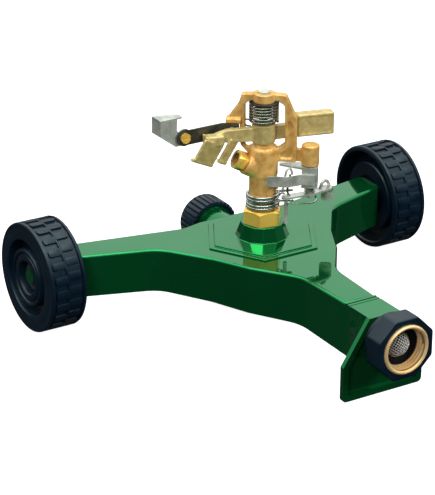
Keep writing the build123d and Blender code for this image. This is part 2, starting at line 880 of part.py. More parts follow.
def impact_arm():
    hub = disc(arm_hub_radius, arm_z, arm_top)
    hub = fillet(hub.edges().filter_by(GeomType.CIRCLE), 0.8)
    left = upright([
        (0, arm_low, 0.0),
        (-knee_reach + 7.0, knee_low, 6.0),
        (-knee_reach, knee_low - 1.5, 1.5),
        (-knee_reach + 1.0, knee_low + 5.6, 2.0),
        (-knee_reach + 9.0, arm_low + arm_height + 0.9, 5.0),
        (0, arm_low + arm_height + 0.9, 0.0),
    ], -arm_front_face, arm_back_face)
    right = upright([
        (0, arm_low, 0.0),
        (weight_start + 1.0, arm_low, 0.0),
        (weight_start + 1.0, arm_low + arm_height + 1.0, 0.0),
        (0, arm_low + arm_height, 0.0),
    ], 0.3 - weight_bar / 2, 0.3 + weight_bar / 2)
    weight_low = arm_low + 0.6
    half = weight_thickness / 2
    weight = block(weight_start, weight_end, -half, half, weight_low, weight_low + weight_height)
    weight = fillet(weight.edges(), 1.0)
    weight -= block(
        weight_start + weight_rim, weight_end - weight_rim,
        -half - 1.0, weight_panel - half,
        weight_low + weight_rim, weight_low + weight_height - weight_rim,
    )
    front_reach = knee_reach + vane_setback
    rear_reach = knee_reach - rear_vane_advance
    rear_z = spoon_z - rear_vane_drop
    spoon = vane(front_reach, vane_offset, spoon_z, vane_width, vane_length, vane_lip, vane_lip_reach)
    spoon += vane(rear_reach, rear_vane_offset, rear_z, rear_vane_width, rear_vane_length, rear_vane_lip, 0)
    knee_front = -arm_front_face - 3.2
    knee = block(0, knee_length, knee_front, arm_back_face, knee_low - 1.0, knee_low + 5.6)
    knee = Pos(-front_reach - 2.0, 0, 0) * fillet(knee.edges(), 1.2)
    spike = Pos(-front_reach + 1.0, -vane_offset + 1.0, knee_low + 3.0) * Rot(0, -42, 0)
    spike = spike * disc(spike_radius, 0, spike_length)
    arm = hub + left + right + weight + knee + spoon + spike
    return arm_frame * (arm - disc(pin_radius + running_fit, arm_z - 1.0, arm_top + 1.0))


# Diffuser: its bar runs from the side web along -X, past the far end of the arm
bar_low = web_z - side_gap - diffuser_bar_height
pivot_z_flap = bar_low + diffuser_bar_height / 2 + 0.3


def along_bridge(x, y):
    """Where a point of the bridge frame lies from above, about the riser axis."""
    turn = radians(bridge_angle)
    return (x * cos(turn) - y * sin(turn), x * sin(turn) + y * cos(turn))


bar_back = along_bridge(-bar_bend, -bridge_depth / 2 - seat_gap)[1]
bar_front = bar_back - sheet
flap_front = bar_back + sheet_gap


def pivot_disc(radius, y0, y1):
    """A disc about the flap's pivot, between two values of y."""
    pivot = Plane((-diffuser_pivot_x, y0, pivot_z_flap), (1, 0, 0), (0, 1, 0))
    return pivot * extrude(Circle(radius), y1 - y0)


def rivet_axis():
    """The frame of the rivet through the side web, with Z toward the front."""
    x = -(left_leg_outer + web_reach) / 2 - 0.4
    return Plane((x, 0, web_z - diffuser_bar_height / 2), (1, 0, 0), (0, -1, 0))


def diffuser_bar():
    """The steel strip riveted to the bridge's side web, ending in a round ear."""
    face = -bridge_depth / 2 - seat_gap
    start = along_bridge(-left_leg_outer - 0.6, face)
    corner = along_bridge(-bar_bend, face)
    bar = strip([start, corner, (-diffuser_pivot_x, bar_back)], sheet, bar_low, bar_low + diffuser_bar_height)
    bar = bar + pivot_disc(diffuser_ear, bar_front, bar_back)
    return riser * (bar - pivot_disc(flap_screw + seat_gap, bar_front - 1.0, bar_back + 1.0))


def diffuser_screw():
    """The brass pivot screw, its slotted head to the front."""
    screw_head = pivot_disc(flap_screw_head, bar_front - 1.8, bar_front - seat_gap)
    shank_end = flap_front + flap_sheet + nut_thickness + 1.0
    screw = screw_head + pivot_disc(flap_screw, bar_front - 0.5, shank_end)
    slot = Pos(-diffuser_pivot_x, bar_front - 1.8, pivot_z_flap) * Box(3 * flap_screw_head, 1.2, 1.0)
    return riser * (screw - slot)


def diffuser_nut():
    back = flap_front + flap_sheet + sheet_gap
    frame = Plane((-diffuser_pivot_x, back, pivot_z_flap), (1, 0, 0), (0, 1, 0))
    nut = extrude(RegularPolygon(2 * flap_screw, 6) - Circle(flap_screw + seat_gap), nut_thickness)
    return riser * (frame * nut)


def diffuser_flap():
    """The bent sheet that breaks up the jet: a side, an end and a roof folded from one piece."""
    left = -diffuser_pivot_x - flap_reach
    low = pivot_z_flap - flap_drop
    high = pivot_z_flap + flap_rise
    side = upright([
        (left, high - flap_depth, 1.0),
        (left + flap_depth, low, 1.5),
        (-diffuser_pivot_x + 1.0, low, 1.0),
        (-diffuser_pivot_x - 1.0, pivot_z_flap, 0.0),
        (-diffuser_pivot_x - flap_notch, pivot_z_flap + diffuser_ear, 3.0),
        (-diffuser_pivot_x - flap_notch + 0.4, high, 0.0),
        (left, high, 0.0),
    ], flap_front, flap_front + flap_sheet)
    side += pivot_disc(diffuser_ear, flap_front, flap_front + flap_sheet)
    end = block(left, left + flap_sheet, flap_front, flap_front + flap_depth, high - flap_depth, high)
    roof = extrude(Pos(0, 0, high - flap_sheet) * face_of([
        (left, flap_front, 0.0),
        (-diffuser_pivot_x - 1.0, flap_front, 1.0),
        (-diffuser_pivot_x - 0.4, flap_front + 5.5, 1.5),
        (left + 13.0, flap_front + flap_depth - 3.0, 2.0),
        (left, flap_front + flap_depth, 0.0),
    ]), flap_sheet)
    bore = pivot_disc(flap_screw + running_fit, flap_front - 1.0, flap_front + 2.0)
    return riser * (side + end + roof - bore)


def diffuser_rivet():
    """The rivet head that holds the bar to the side web."""
    frame = rivet_axis()
    face = bridge_depth / 2 + seat_gap + sheet
    return head * (frame * disc(bar_rivet, face, face + rivet_head))


# Trip mechanism, hung on one pin under its boss, in the bridge frame
def pin_hole(low, high):
    return disc(trip_pin + running_fit, low, high)


def trip_pin_rod():
    return head * (trip_axis * disc(trip_pin, lever_z - 2.2, trip_pin_top - 0.1))


def trip_clip():
    """The spring clip under the lever."""
    high = lever_z - sheet_gap
    return head * (trip_axis * disc(clip_radius, high - clip_thickness, high, trip_pin + seat_gap))


def reverse_bracket():
    """The bent bracket on the pin: two flanges, a front and a side, with a tongue under the leg."""
    top = extrude(Pos(0, 0, bracket_top - sheet) * face_of([
        (-tongue_reach, -1.0, 0.8),
        (-bracket_half, -bracket_front, 0.0),
        (bracket_half, -bracket_front, 0.0),
        (bracket_half, bracket_back, 1.5),
        (-bracket_half, bracket_back, 2.0),
        (-tongue_reach, 1.8, 0.8),
    ]), sheet)
    face = -bracket_front
    foot = block(-bracket_half, bracket_half, face, bracket_back, bracket_low, bracket_low + sheet)
    front = block(-bracket_half, bracket_half, face, face + sheet, bracket_low, bracket_top)
    side = block(bracket_half - sheet, bracket_half, face, bracket_back, bracket_low, bracket_top)
    return head * (trip_axis * (top + foot + front + side - pin_hole(bracket_low - 1.0, bracket_top + 1.0)))


def reverse_leaf():
    """The long leaf spot-welded to the bracket, reaching across the front of the tube."""
    low = bracket_low + 2.4
    face = -bracket_front - seat_gap
    path = [
        (bracket_half - sheet, face),
        (-bracket_half - 0.3, face),
        (-bracket_half - 8.5, -leaf_standoff),
        (3.0 - trip_reach, -leaf_standoff),
    ]
    leaf = strip(path, sheet, low, low + leaf_height, 3.0)
    ends = leaf.edges().filter_by(Axis.Y).group_by(Axis.X)[0]
    return head * (trip_axis * fillet(ends, 2.0))


def link(start, end, width):
    """A flat link with round ends between two points."""
    ends = [Pos(*point) * Circle(width / 2) for point in (start, end)]
    return make_hull(ends[0].edges() + ends[1].edges())


def trip_lever():
    """The lever that the rod hangs from, with a turned-down tab at its tail."""
    rod_point = (-rod_along, -rod_forward)
    tail = (lever_tail_along, lever_tail_back)
    plan = link(rod_point, (0, 0), lever_width) + link((0, 0), tail, lever_width)
    lever = extrude(Pos(0, 0, lever_z) * plan, sheet)
    tab = Pos(lever_tail_along, tab_back, lever_z + sheet) * Box(
        lever_tab_width, sheet, lever_tab_height, align=(Align.CENTER, Align.MAX, Align.MAX)
    )
    tab = fillet(tab.edges().filter_by(Axis.Y).group_by(Axis.Z)[0], 2.0)
    lever = lever + tab - pin_hole(lever_z - 1.0, lever_z + 2 * sheet)
    lever -= Pos(*rod_point) * disc(rod_radius + seat_gap, lever_z - 1.0, lever_z + 2 * sheet)
    return head * (trip_axis * lever)


def trip_rod():
    """The hanging rod that meets the collars' stops, headed over the lever."""
    rod = disc(rod_radius, lever_z - rod_length, lever_z + sheet)
    rod += disc(rod_radius, lever_z + sheet, lever_z + sheet + seat_gap)
    rod += disc(rod_radius + 0.8, lever_z + sheet + seat_gap, lever_z + sheet + rivet_head)
    return head * (trip_axis * Pos(-rod_along, -rod_forward, 0) * rod)


def trip_spring():
    low = lever_z + sheet + side_gap + trip_spring_wire / 2
    high = bracket_low - side_gap - trip_spring_wire / 2
    pitch = (high - low) / trip_spring_turns
    winding = coil(trip_spring_radius, trip_spring_wire, pitch, trip_spring_turns, low)
    return head * (trip_axis * winding)


def tab_rivet():
    """A rivet head on the front of the lever's tab."""
    level = lever_z - lever_tab_height / 2 + 0.4
    frame = Plane((lever_tail_along, tab_back - sheet - seat_gap, level), (1, 0, 0), (0, -1, 0))
    return head * (trip_axis * (frame * disc(trip_rivet, 0, rivet_head)))


collar_low = nipple_top + 0.2
collar_stack = collar_wire + collar_pitch * (collar_turns - 0.25) + 0.2

nodes = {
    "base_casting": base_casting(),
    "inlet_stem": inlet_stem(),
    "inlet_swivel_nut": inlet_swivel_nut(),
    "inlet_grip_sleeve": inlet_grip_sleeve(),
    "inlet_washer": inlet_washer(),
    "inlet_screen": inlet_screen(),
    "outlet_cap": outlet_cap(),
    "outlet_cap_washer": outlet_cap_washer(),
    "bearing_nipple": bearing_nipple(),
    "bearing_stem": bearing_stem_tube(),
    "bearing_washers": bearing_washers(),
    "bearing_spring": bearing_spring(),
    "friction_collar_lower": friction_collar(collar_low, collar_lower_angle),
    "friction_collar_upper": friction_collar(collar_low + collar_stack, collar_upper_angle),
    "body_casting": body_casting(),
    "range_nozzle": range_nozzle(),
    "fulcrum_pin": fulcrum_pin(),
    "spring_cup": spring_cup(),
    "arm_spring": arm_spring(),
    "impact_arm": impact_arm(),
    "diffuser_bar": diffuser_bar(),
    "diffuser_rivet": diffuser_rivet(),
    "diffuser_screw": diffuser_screw(),
    "diffuser_nut": diffuser_nut(),
    "diffuser_flap": diffuser_flap(),
    "trip_pin": trip_pin_rod(),
    "trip_clip": trip_clip(),
    "reverse_bracket": reverse_bracket(),
    "reverse_leaf": reverse_leaf(),
    "trip_lever": trip_lever(),
    "trip_rod": trip_rod(),
    "trip_spring": trip_spring(),
    "trip_rivet": tab_rivet(),
}
for side, name in ((1, "right"), (-1, "left")):
    nodes[f"wheel_{name}"] = wheel_side(side) * wheel()
    nodes[f"wheel_retainer_{name}"] = wheel_side(side) * wheel_retainer()

os.makedirs("parts", exist_ok=True)
for name, part in nodes.items():
    export_step(part, f"parts/{name}.step")
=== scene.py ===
import bpy
import bmesh
import math
from mathutils import Matrix, Vector


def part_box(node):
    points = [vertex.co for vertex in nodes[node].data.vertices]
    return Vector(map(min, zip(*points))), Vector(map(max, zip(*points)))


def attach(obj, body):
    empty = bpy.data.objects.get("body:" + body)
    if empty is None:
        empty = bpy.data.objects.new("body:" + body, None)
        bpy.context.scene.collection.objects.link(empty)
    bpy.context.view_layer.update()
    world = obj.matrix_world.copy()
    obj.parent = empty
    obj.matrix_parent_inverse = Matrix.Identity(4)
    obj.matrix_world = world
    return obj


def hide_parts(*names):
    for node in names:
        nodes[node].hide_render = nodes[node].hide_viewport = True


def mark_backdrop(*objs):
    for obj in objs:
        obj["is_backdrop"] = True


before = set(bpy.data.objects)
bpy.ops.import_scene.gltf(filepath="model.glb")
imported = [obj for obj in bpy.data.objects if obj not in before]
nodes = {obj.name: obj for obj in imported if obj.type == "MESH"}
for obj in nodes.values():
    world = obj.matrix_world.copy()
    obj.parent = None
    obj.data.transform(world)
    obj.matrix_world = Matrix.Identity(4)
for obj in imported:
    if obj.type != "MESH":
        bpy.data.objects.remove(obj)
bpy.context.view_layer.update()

# The camera stands in front of the hose inlet's left side, a little above the sprinkler,
# with a long lens. Its aim is the point behind the middle of the picture.
camera = bpy.data.objects.new("camera", bpy.data.cameras.new("camera"))
bpy.context.collection.objects.link(camera)
camera.location = (-0.71565, -1.06400, 0.62239)
aim = Vector((-0.02311, 0.05112, 0.04250))
camera_roll = math.radians(0.404)
sensor_width = 36.0
lens_length = 164.71
facing = (aim - camera.location).to_track_quat("-Z", "Y").to_matrix()
camera.rotation_euler = (facing @ Matrix.Rotation(camera_roll, 3, "Z")).to_euler()
camera.data.lens = lens_length
camera.data.sensor_width = sensor_width
camera.data.clip_end = 50.0
bpy.context.scene.camera = camera
bpy.context.scene.view_settings.view_transform = "Standard"
bpy.context.scene.view_settings.look = "None"

# The studio is a white sweep behind the sprinkler and a dark room on the camera's side. The
# floor is clipped to white and isn't mirrored. Soft lights hang overhead and to both sides,
# and a thin strip draws the bright lines along the edges of the enamel.
floor_size = 24.0
floor_drop = 0.0004
bpy.ops.mesh.primitive_plane_add(size=floor_size, location=(0, 0, -floor_drop))
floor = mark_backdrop(bpy.context.object) or bpy.context.object
floor.name = "floor"
floor.visible_glossy = False
floor.visible_diffuse = False
paper = bpy.data.materials.new("paper")
paper.use_nodes = True
paper_shader = paper.node_tree.nodes["Principled BSDF"]
paper_shader.inputs["Base Color"].default_value = (0.35, 0.35, 0.35, 1)
paper_shader.inputs["Roughness"].default_value = 0.9
paper_shader.inputs["Specular IOR Level"].default_value = 0.0
paper_shader.inputs["Emission Color"].default_value = (1, 1, 1, 1)
paper_shader.inputs["Emission Strength"].default_value = 0.92
floor.data.materials.append(paper)


def sky_ramp(tree, height, stops):
    """A ramp of grey over the height of a direction, from 0 straight down to 1 straight up."""
    ramp = tree.nodes.new("ShaderNodeValToRGB")
    tree.links.new(height, ramp.inputs["Fac"])
    while len(ramp.color_ramp.elements) < len(stops):
        ramp.color_ramp.elements.new(0.5)
    for element, (place, grey) in zip(ramp.color_ramp.elements, stops):
        element.position = place
        element.color = (grey, grey * 1.01, grey * 1.02, 1)
    return ramp.outputs["Color"]


world = bpy.data.worlds.new("studio")
bpy.context.scene.world = world
world.use_nodes = True
sky = world.node_tree
sky_place = sky.nodes.new("ShaderNodeTexCoord")
sky_split = sky.nodes.new("ShaderNodeSeparateXYZ")
sky.links.new(sky_place.outputs["Generated"], sky_split.inputs[0])
sky_height = sky.nodes.new("ShaderNodeMapRange")
sky_height.inputs["From Min"].default_value = -1.0
sky.links.new(sky_split.outputs["Z"], sky_height.inputs["Value"])
camera_heading = (0.53, 0.848, 0)
away = sky.nodes.new("ShaderNodeVectorMath")
away.operation = "DOT_PRODUCT"
away.inputs[1].default_value = camera_heading
sky.links.new(sky_place.outputs["Generated"], away.inputs[0])
behind = sky.nodes.new("ShaderNodeMapRange")
behind.inputs["From Min"].default_value = -0.15
behind.inputs["From Max"].default_value = 0.45
sky.links.new(away.outputs["Value"], behind.inputs["Value"])
room_stops = [(0.48, 0.020), (0.64, 0.04), (0.80, 0.75), (0.95, 1.3)]
sweep_stops = [(0.49, 0.04), (0.56, 0.45), (0.66, 0.98), (0.95, 1.2)]
room = sky_ramp(sky, sky_height.outputs["Result"], room_stops)
sweep = sky_ramp(sky, sky_height.outputs["Result"], sweep_stops)
sky_mix = sky.nodes.new("ShaderNodeMix")
sky_mix.data_type = "RGBA"
sky.links.new(behind.outputs["Result"], sky_mix.inputs["Factor"])
sky.links.new(room, sky_mix.inputs["A"])
sky.links.new(sweep, sky_mix.inputs["B"])
sky.links.new(sky_mix.outputs["Result"], sky.nodes["Background"].inputs["Color"])
sky.nodes["Background"].inputs["Strength"].default_value = 1.0


lit_point = Vector((0, 0, 0.05))


def soft_light(name, place, size, power, mirrored=True):
    """A rectangular soft light that faces the middle of the sprinkler."""
    lamp = bpy.data.lights.new(name, "AREA")
    lamp.shape = "RECTANGLE"
    lamp.size, lamp.size_y = size
    lamp.energy = power
    holder = bpy.data.objects.new(name, lamp)
    bpy.context.collection.objects.link(holder)
    holder.location = place
    holder.rotation_euler = (lit_point - Vector(place)).to_track_quat("-Z", "Y").to_euler()
    holder.visible_glossy = mirrored


soft_light("overhead", (-0.15, 0.1, 1.25), (1.5, 1.5), 9)
soft_light("front_left", (-1.3, -0.9, 1.05), (0.7, 0.7), 28, mirrored=False)
soft_light("front_right", (0.9, -1.3, 0.75), (0.5, 0.5), 24, mirrored=False)
soft_light("edge_strip", (-0.1, -0.35, 1.3), (1.6, 0.05), 2.5)


# The base is a die casting under a thick coat of green stoving enamel. The pigment is deep
# and metallic, so the flat top mirrors the sweep behind and the sides stay dark. The coat
# rounds the edges of the two hexagon steps and of the riser boss.
grain_low, grain_high = 0.35, 0.65
patch_share = 0.22


def finish(name, colour, second, metallic, roughness, grain, bump, detail=3.0):
    """A material whose colour and roughness wander between two values over a grain in metres."""
    material = bpy.data.materials.new(name)
    material.use_nodes = True
    tree = material.node_tree
    shader = tree.nodes["Principled BSDF"]
    shader.inputs["Metallic"].default_value = metallic
    place = tree.nodes.new("ShaderNodeTexCoord")
    patches = tree.nodes.new("ShaderNodeTexNoise")
    patches.inputs["Scale"].default_value = patch_share / grain
    patches.inputs["Detail"].default_value = detail
    grains = tree.nodes.new("ShaderNodeTexNoise")
    grains.inputs["Scale"].default_value = 1.0 / grain
    grains.inputs["Detail"].default_value = detail
    tree.links.new(place.outputs["Object"], patches.inputs["Vector"])
    tree.links.new(place.outputs["Object"], grains.inputs["Vector"])
    spread = tree.nodes.new("ShaderNodeMapRange")
    spread.inputs["From Min"].default_value = grain_low
    spread.inputs["From Max"].default_value = grain_high
    tree.links.new(patches.outputs["Fac"], spread.inputs["Value"])
    tint = tree.nodes.new("ShaderNodeMix")
    tint.data_type = "RGBA"
    tint.inputs["A"].default_value = (*colour, 1)
    tint.inputs["B"].default_value = (*second, 1)
    tree.links.new(spread.outputs["Result"], tint.inputs["Factor"])
    tree.links.new(tint.outputs["Result"], shader.inputs["Base Color"])
    gloss = tree.nodes.new("ShaderNodeMapRange")
    gloss.inputs["From Min"].default_value = grain_low
    gloss.inputs["From Max"].default_value = grain_high
    gloss.inputs["To Min"].default_value = roughness[0]
    gloss.inputs["To Max"].default_value = roughness[1]
    tree.links.new(grains.outputs["Fac"], gloss.inputs["Value"])
    tree.links.new(gloss.outputs["Result"], shader.inputs["Roughness"])
    if bump > 0:
        relief = tree.nodes.new("ShaderNodeBump")
        relief.inputs["Strength"].default_value = 1.0
        relief.inputs["Distance"].default_value = bump
        tree.links.new(grains.outputs["Fac"], relief.inputs["Height"])
        tree.links.new(relief.outputs["Normal"], shader.inputs["Normal"])
    return material


enamel = finish("green_enamel", (0.004, 0.210, 0.055), (0.005, 0.225, 0.062), 0.88, (0.025, 0.045),
                0.0090, 0.000006, 1.0)
enamel.node_tree.nodes["Principled BSDF"].inputs["Coat Weight"].default_value = 0.3
enamel.node_tree.nodes["Principled BSDF"].inputs["Coat Roughness"].default_value = 0.03


def make_piece(name, mesh, material, body, place=None, smooth_angle=35, flat_faces=False):
    """Turns a bmesh into a piece that rides on a body. Large flat faces can be kept flat."""
    data = bpy.data.meshes.new(name)
    if place is not None:
        bmesh.ops.transform(mesh, matrix=place, verts=mesh.verts)
    mesh.to_mesh(data)
    mesh.free()
    data.materials.append(material)
    data.shade_smooth()
    data.set_sharp_from_angle(angle=math.radians(smooth_angle))
    made = bpy.data.objects.new(name, data)
    bpy.context.collection.objects.link(made)
    if flat_faces:
        weigh = made.modifiers.new("weigh", "WEIGHTED_NORMAL")
        weigh.weight = 100
        weigh.keep_sharp = True
    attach(made, body)
    return made


def merged_copy(node, flatten=True):
    """A CAD node's mesh with its doubles merged and its flat faces joined."""
    mesh = bmesh.new()
    mesh.from_mesh(nodes[node].data)
    bmesh.ops.remove_doubles(mesh, verts=mesh.verts, dist=1e-6)
    if flatten:
        bmesh.ops.dissolve_limit(mesh, angle_limit=math.radians(0.2), verts=mesh.verts, edges=mesh.edges)
    return mesh


def soften_edges(mesh, wanted, radius, sharpest=20):
    """Rounds the sharp edges of a mesh that a test picks by their middle and length."""
    chosen = []
    for edge in mesh.edges:
        if len(edge.link_faces) == 2 and edge.calc_face_angle(0) > math.radians(sharpest):
            if wanted((edge.verts[0].co + edge.verts[1].co) / 2, edge.calc_length()):
                chosen.append(edge)
    bmesh.ops.bevel(mesh, geom=chosen, offset=radius, offset_type="OFFSET", affect="EDGES",
                    segments=3, profile=0.5, material=-1, clamp_overlap=True)


riser_y = 0.03511
plate_top = 0.0512
steps_top = 0.0535
steps_reach = 0.040
boss_reach = 0.0130
enamel_edge = 0.00045
shortest_edge = 0.004


def on_steps(middle, length):
    """Whether an edge is one of the hexagon steps' edges."""
    reach = math.hypot(middle.x, middle.y - riser_y)
    return length > shortest_edge and plate_top < middle.z < steps_top and reach < steps_reach


def on_boss(middle, length):
    """Whether an edge is one of the riser boss's edges."""
    reach = math.hypot(middle.x, middle.y - riser_y)
    return length > shortest_edge and middle.z > steps_top and reach > boss_reach


casting = merged_copy("base_casting")
soften_edges(casting, on_steps, enamel_edge)
soften_edges(casting, on_boss, enamel_edge)
base_piece = make_piece("enamelled_base", casting, enamel, "base", None, 28, True)
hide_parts("base_casting")

# Each wheel is one moulding in black plastic: a flat outer ring, a deep recess, a raised disc
# with a bead, and a tread of two rows of lugs, out of step with each other, between closed
# shoulders. The profile is spun and the lugs are set round it.
plastic = finish("black_plastic", (0.0012, 0.0050, 0.0110), (0.0022, 0.0078, 0.0150), 0.0, (0.30, 0.40),
                 0.0030, 0.000008, 1.0)
plastic_shader = plastic.node_tree.nodes["Principled BSDF"]
plastic_shader.inputs["Specular IOR Level"].default_value = 0.45
plastic_shader.inputs["Specular Tint"].default_value = (0.80, 1.0, 1.0, 1)
wheel_radius = 0.035
wheel_half = 0.0126
wheel_bore = 0.00505
tread_floor = 0.03372
lug_count = 24
lug_length = 0.0050
lug_root = 0.0006
lug_corner = 0.0016
lug_edge = 0.00028
lug_gap = 0.0004
rows_apart = 0.22
shoulder_in = 0.0009


def turned_mesh(mesh, profile, steps):
    """Spins a closed profile of (radius, along) points about X."""
    rim = [mesh.verts.new((along, 0, radius)) for radius, along in profile]
    edges = [mesh.edges.new((rim[n], rim[(n + 1) % len(rim)])) for n in range(len(rim))]
    bmesh.ops.spin(mesh, geom=rim + edges, cent=(0, 0, 0), axis=(1, 0, 0), angle=2 * math.pi,
                   steps=steps, use_merge=True, use_duplicate=False)
    bmesh.ops.remove_doubles(mesh, verts=mesh.verts, dist=1e-6)
    bmesh.ops.recalc_face_normals(mesh, faces=mesh.faces)


def lug_row(low, high, first_turn, round_end):
    """A row of lugs between two places along the axle, bent round the wheel, with one round end."""
    row = bmesh.new()
    root = tread_floor - lug_root
    middle = Matrix.Translation(((low + high) / 2, 0, (root + wheel_radius) / 2))
    block = Matrix.Diagonal((abs(high - low), lug_length, wheel_radius - root, 1))
    bmesh.ops.create_cube(row, size=1.0, matrix=middle @ block)
    upright = [e for e in row.edges if abs(e.verts[0].co.z - e.verts[1].co.z) > 0.001]
    corners = [e for e in upright if (e.verts[0].co.x - round_end) ** 2 < 1e-9]
    bmesh.ops.bevel(row, geom=corners, offset=lug_corner, offset_type="OFFSET", affect="EDGES", segments=3,
                    profile=0.5, material=-1)
    rims = [e for e in row.edges if min(v.co.z for v in e.verts) > tread_floor]
    bmesh.ops.bevel(row, geom=rims, offset=lug_edge, offset_type="OFFSET", affect="EDGES", segments=2,
                    profile=0.5, material=-1)
    for v in row.verts:
        angle = v.co.y / wheel_radius
        v.co = (v.co.x, v.co.z * math.sin(angle), v.co.z * math.cos(angle))
    bmesh.ops.rotate(row, verts=row.verts, cent=(0, 0, 0), matrix=Matrix.Rotation(first_turn, 3, "X"))
    pitch = math.radians(360 / lug_count)
    bmesh.ops.spin(row, geom=row.verts[:] + row.edges[:] + row.faces[:], cent=(0, 0, 0), axis=(1, 0, 0),
                   angle=pitch * (lug_count - 1), steps=lug_count - 1, use_duplicate=True)
    bmesh.ops.recalc_face_normals(row, faces=row.faces)
    return row


def add_mesh(mesh, part):
    """Puts one bmesh into another."""
    carrier = bpy.data.meshes.new("carrier")
    part.to_mesh(carrier)
    part.free()
    mesh.from_mesh(carrier)
    bpy.data.meshes.remove(carrier)


def wheel(side):
    """A wheel about X with its outer face toward +X, then turned to its own side."""
    core = bmesh.new()
    turned_mesh(core, [
        (wheel_bore, 0.0018 - wheel_half),
        (0.0105, 0.0018 - wheel_half),
        (0.0110, 0.0024 - wheel_half),
        (0.0112, 0.0060 - wheel_half),
        (0.0136, 0.0060 - wheel_half),
        (0.0138, 0.0034 - wheel_half),
        (0.0144, 0.0028 - wheel_half),
        (0.0230, 0.0028 - wheel_half),
        (0.0236, 0.0036 - wheel_half),
        (0.0238, 0.0110 - wheel_half),
        (0.0300, 0.0110 - wheel_half),
        (0.0310, 0.0012 - wheel_half),
        (0.0316, 0.0006 - wheel_half),
        (0.0318, -wheel_half),
        (0.0336, -wheel_half),
        (0.0347, 0.0007 - wheel_half),
        (0.0350, 0.0016 - wheel_half),
        (0.0350, 0.0024 - wheel_half),
        (tread_floor, 0.0028 - wheel_half),
        (tread_floor, -0.0006),
        (0.0348, -0.0005),
        (0.0350, -0.0002),
        (0.0350, 0.0002),
        (0.0348, 0.0005),
        (tread_floor, 0.0006),
        (tread_floor, wheel_half - shoulder_in - 0.0022),
        (0.0350, wheel_half - shoulder_in - 0.0019),
        (0.0350, wheel_half - shoulder_in - 0.0006),
        (0.0348, wheel_half - shoulder_in),
        (0.0340, wheel_half - shoulder_in + 0.0003),
        (0.0338, wheel_half - shoulder_in + 0.0002),
        (0.0300, wheel_half - 0.0002),
        (0.0255, wheel_half),
        (0.0246, wheel_half - 0.0003),
        (0.0242, wheel_half - 0.0012),
        (0.0238, wheel_half - 0.0090),
        (0.0192, wheel_half - 0.0090),
        (0.0186, wheel_half - 0.0012),
        (0.0182, wheel_half - 0.0004),
        (0.0172, wheel_half - 0.0001),
        (0.0162, wheel_half - 0.0005),
        (0.0156, wheel_half - 0.0016),
        (0.0150, wheel_half - 0.0017),
        (0.0145, wheel_half - 0.0007),
        (0.0138, wheel_half - 0.0005),
        (0.0112, wheel_half - 0.0005),
        (0.0106, wheel_half - 0.0010),
        (0.0103, wheel_half - 0.0018),
        (0.0101, wheel_half - 0.0085),
        (wheel_bore, wheel_half - 0.0085),
    ], 144)
    step = math.radians(360 / lug_count)
    outer_end = wheel_half - shoulder_in - 0.0030
    inner_end = 0.0034 - wheel_half
    add_mesh(core, lug_row(lug_gap, outer_end, 0, outer_end))
    add_mesh(core, lug_row(inner_end, -lug_gap, step * rows_apart, inner_end))
    name = "right" if side > 0 else "left"
    low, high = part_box(f"wheel_{name}")
    middle = (low + high) / 2
    place = Matrix.Translation(middle) @ Matrix.Rotation(0 if side > 0 else math.pi, 4, "Z")
    made = make_piece(f"{name}_wheel_moulding", core, plastic, f"{name}_wheel", place)
    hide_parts(f"wheel_{name}")


wheel(1)
wheel(-1)

# The rings that keep the wheels on are stamped from spring steel and darkened. They are pushed
# on to the ends of the axle stubs, where their teeth grip.
def dress(material, *names):
    """Gives CAD nodes a finish."""
    for name in names:
        slots = nodes[name].data.materials
        slots.clear()
        slots.append(material)


dark_steel = finish("dark_steel", (0.030, 0.032, 0.032), (0.055, 0.055, 0.050), 0.5, (0.30, 0.40),
                    0.0040, 0.0)
dress(dark_steel, "wheel_retainer_left", "wheel_retainer_right")

# The hose swivel is a turned brass nut on a brass tail, in an eight-sided plastic grip. The
# nut's bore and the tail inside it are painted dark brown as shade in the hollow; the bore gets its hose
# thread as a ridge wound round it.
bright_brass = finish("bright_brass", (0.95, 0.64, 0.13), (0.84, 0.50, 0.09), 0.60, (0.16, 0.24),
                      0.0040, 0.0)
ring_brass = finish("ring_brass", (0.94, 0.70, 0.36), (0.86, 0.58, 0.25), 0.62, (0.14, 0.20), 0.0040, 0.0)
# painted shade: a dark brown brass that stands in for the shade inside bores and hollows
shaded_bore_brass = finish("shaded_bore_brass", (0.30, 0.17, 0.06), (0.20, 0.10, 0.03), 0.6, (0.3, 0.4), 0.0040, 0.0)


def cast_copy(node, name, material, body, voxel, rounds):
    """A copy of a CAD node, remeshed finely and smoothed, with a casting's soft edges."""
    made = make_piece(name, merged_copy(node, False), material, body)
    remesh = made.modifiers.new("skin", "REMESH")
    remesh.mode = "VOXEL"
    remesh.voxel_size = voxel
    remesh.use_smooth_shade = True
    soften = made.modifiers.new("soften", "SMOOTH")
    soften.factor = 0.5
    soften.iterations = rounds
    ready = bpy.data.meshes.new_from_object(made.evaluated_get(bpy.context.evaluated_depsgraph_get()))
    made.modifiers.clear()
    made.data = ready
    ready.name = name
    made.data.shade_smooth()
    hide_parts(node)
    return made


cast_copy("inlet_grip_sleeve", "soft_grip_sleeve", plastic, "hose_swivel", 0.00045, 9)
# painted shade: the tail inside the nut takes the dark bore brass as shade
dress(shaded_bore_brass, "inlet_stem")
bore_reach = 0.0136
mouth_lip = 0.0012
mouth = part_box("inlet_swivel_nut")[0].y
water_z = sum(corner.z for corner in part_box("inlet_stem")) / 2
nut = merged_copy("inlet_swivel_nut")
